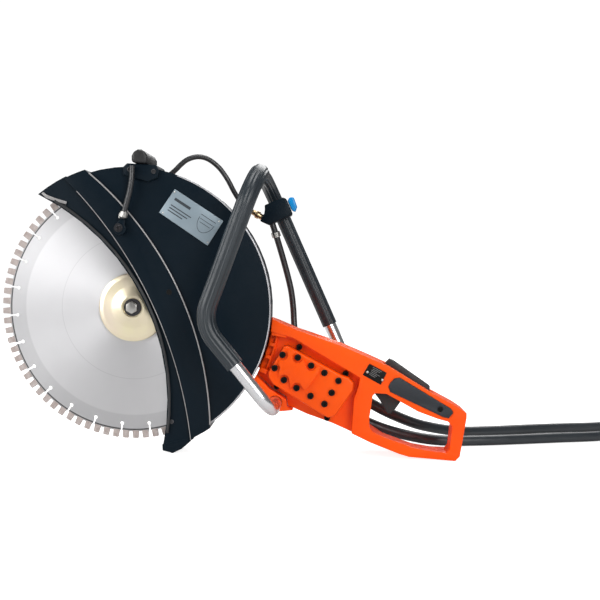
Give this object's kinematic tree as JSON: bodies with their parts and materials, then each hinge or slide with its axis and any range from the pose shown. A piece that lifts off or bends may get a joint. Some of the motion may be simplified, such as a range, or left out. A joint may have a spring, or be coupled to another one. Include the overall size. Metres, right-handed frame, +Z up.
{
  "type": "hydraulic rescue saw",
  "caption": "Hydraulic cut-off saw with a segmented diamond blade, turning guard, front loop handle, trigger handle and water feed.",
  "frame": {"origin": "on the ground plane under the middle of the saw, left to right and front to back, without its loose hoses", "axes": "+X from the blade to the rear handle, +Y from the flange side to the motor side, +Z up"},
  "size_m": [1.1643, 0.4728, 0.4626],
  "materials": {
    "orange": "gloss powder coat on an aluminium casting",
    "guard_black": "satin blue-black coat",
    "black_plastic": "moulded, lightly textured",
    "black_rubber": "ribbed or smooth rubber",
    "blade_steel": "ground in circles, with sintered segments at the rim",
    "steel": "turned and bright plated",
    "dark_steel": "blackened",
    "yellow_zinc": "yellow passivated zinc",
    "aluminium_casting": "as cast and machined",
    "aluminium_tube": "bright drawn tube",
    "brass": "turned",
    "pale_plate": "printed aluminium foil plate",
    "blue_plastic": "moulded"
  },
  "bodies": {
    "chassis": {"cover_gasket": "black_plastic", "cutting_arm": "orange", "front_grip_far": "black_rubber", "front_grip_near": "black_rubber", "front_handle_tube": "aluminium_tube", "grip_insert_far": "black_rubber", "grip_insert_near": "black_rubber", "grip_insert_screw": "dark_steel", "guard_bearing_ring": "steel", "guard_supply_hose": "black_rubber", "handle_clamp_far": "orange", "handle_clamp_near": "orange", "handle_shell_far": "orange", "handle_shell_near": "orange", "idler_shaft": "steel", "inlet_hose_clamp": "steel", "lock_pin": "steel", "motor_end_cover": "aluminium_casting", "motor_housing": "aluminium_casting", "pressure_coupler": "steel", "pressure_hose": "black_rubber", "pressure_hose_fitting": "steel", "rating_plate": "black_plastic", "return_coupler": "steel", "return_hose": "black_rubber", "return_hose_fitting": "steel", "spindle_bearing": "steel", "spindle_seal": "black_rubber", "trigger_pin": "steel", "trigger_spring": "steel", "valve_block": "aluminium_casting", "valve_cover": "orange", "water_inlet_connector": "brass", "water_inlet_hose": "black_rubber", "water_valve_body": "guard_black", "water_valve_nipple": "brass"},
    "cutting_group": {"spindle": "steel", "drive_gear": "dark_steel", "inner_flange": "yellow_zinc", "blade": "blade_steel", "outer_flange": "yellow_zinc", "blade_washer": "dark_steel", "blade_bolt": "dark_steel"},
    "idler": {"idler_gear": "dark_steel"},
    "guard": {"guard_shell": "guard_black", "guard_edge_strip": "black_rubber", "guard_saddle": "guard_black", "guard_adjuster_grip": "black_plastic", "nozzle_near": "guard_black", "nozzle_far": "guard_black", "nozzle_hose_near": "black_rubber", "nozzle_hose_far": "black_rubber", "nozzle_hose_clamp": "steel", "guard_plate": "pale_plate"},
    "spool": {"valve_spool": "steel"},
    "trigger": {"trigger": "black_plastic"},
    "trigger_lock": {"trigger_lock": "black_plastic"},
    "tap": {"water_tap_knob": "blue_plastic"},
    "coupler_sleeve": {"coupler_sleeve": "dark_steel"}
  },
  "joints": [
    {"name": "blade_spin", "type": "hinge", "parent": "chassis", "child": "cutting_group", "pos_m": [-0.15505, 0.0029, 0.21954], "axis": [0, 1, 0], "continuous": true},
    {"name": "idler_spin", "type": "hinge", "parent": "chassis", "child": "idler", "pos_m": [-0.10706, 0.0029, 0.22075], "axis": [0, 1, 0], "continuous": true},
    {"name": "guard_turn", "type": "hinge", "parent": "chassis", "child": "guard", "pos_m": [-0.15505, 0.0029, 0.21954], "axis": [0, -1, 0], "range_deg": [-25, 20], "deforming": ["guard_supply_hose"]},
    {"name": "trigger_pull", "type": "hinge", "parent": "chassis", "child": "trigger", "pos_m": [0.2288, 0.0029, 0.11117], "axis": [0, -1, 0], "range_deg": [0, 12], "stiffness_Nm_per_rad": 0.6, "springref_deg": -20.05},
    {"name": "spool_slide", "type": "slide", "parent": "chassis", "child": "spool", "axis": [-0.9022, 0, 0.4314], "range_m": [0, 0.002]},
    {"name": "lock_press", "type": "hinge", "parent": "chassis", "child": "trigger_lock", "pos_m": [0.29518, 0.0029, 0.09684], "axis": [0, -1, 0], "range_deg": [0, 6], "stiffness_Nm_per_rad": 0.5, "springref_deg": -17.19},
    {"name": "water_tap", "type": "hinge", "parent": "chassis", "child": "tap", "pos_m": [0.05808, 0.0789, 0.37596], "axis": [0.9106, 0, 0.4134], "range_deg": [0, 90]},
    {"name": "sleeve_slide", "type": "slide", "parent": "chassis", "child": "coupler_sleeve", "axis": [-0.952, -0.306, 0], "range_m": [0, 0.008], "stiffness_N_per_m": 1500, "springref_m": -0.004}
  ],
  "couplings": [
    {"joint": "idler_spin", "follows": "blade_spin", "ratio": -1},
    {"joint": "spool_slide", "follows": "trigger_pull", "m_per_rad": 0.0082}
  ]
}
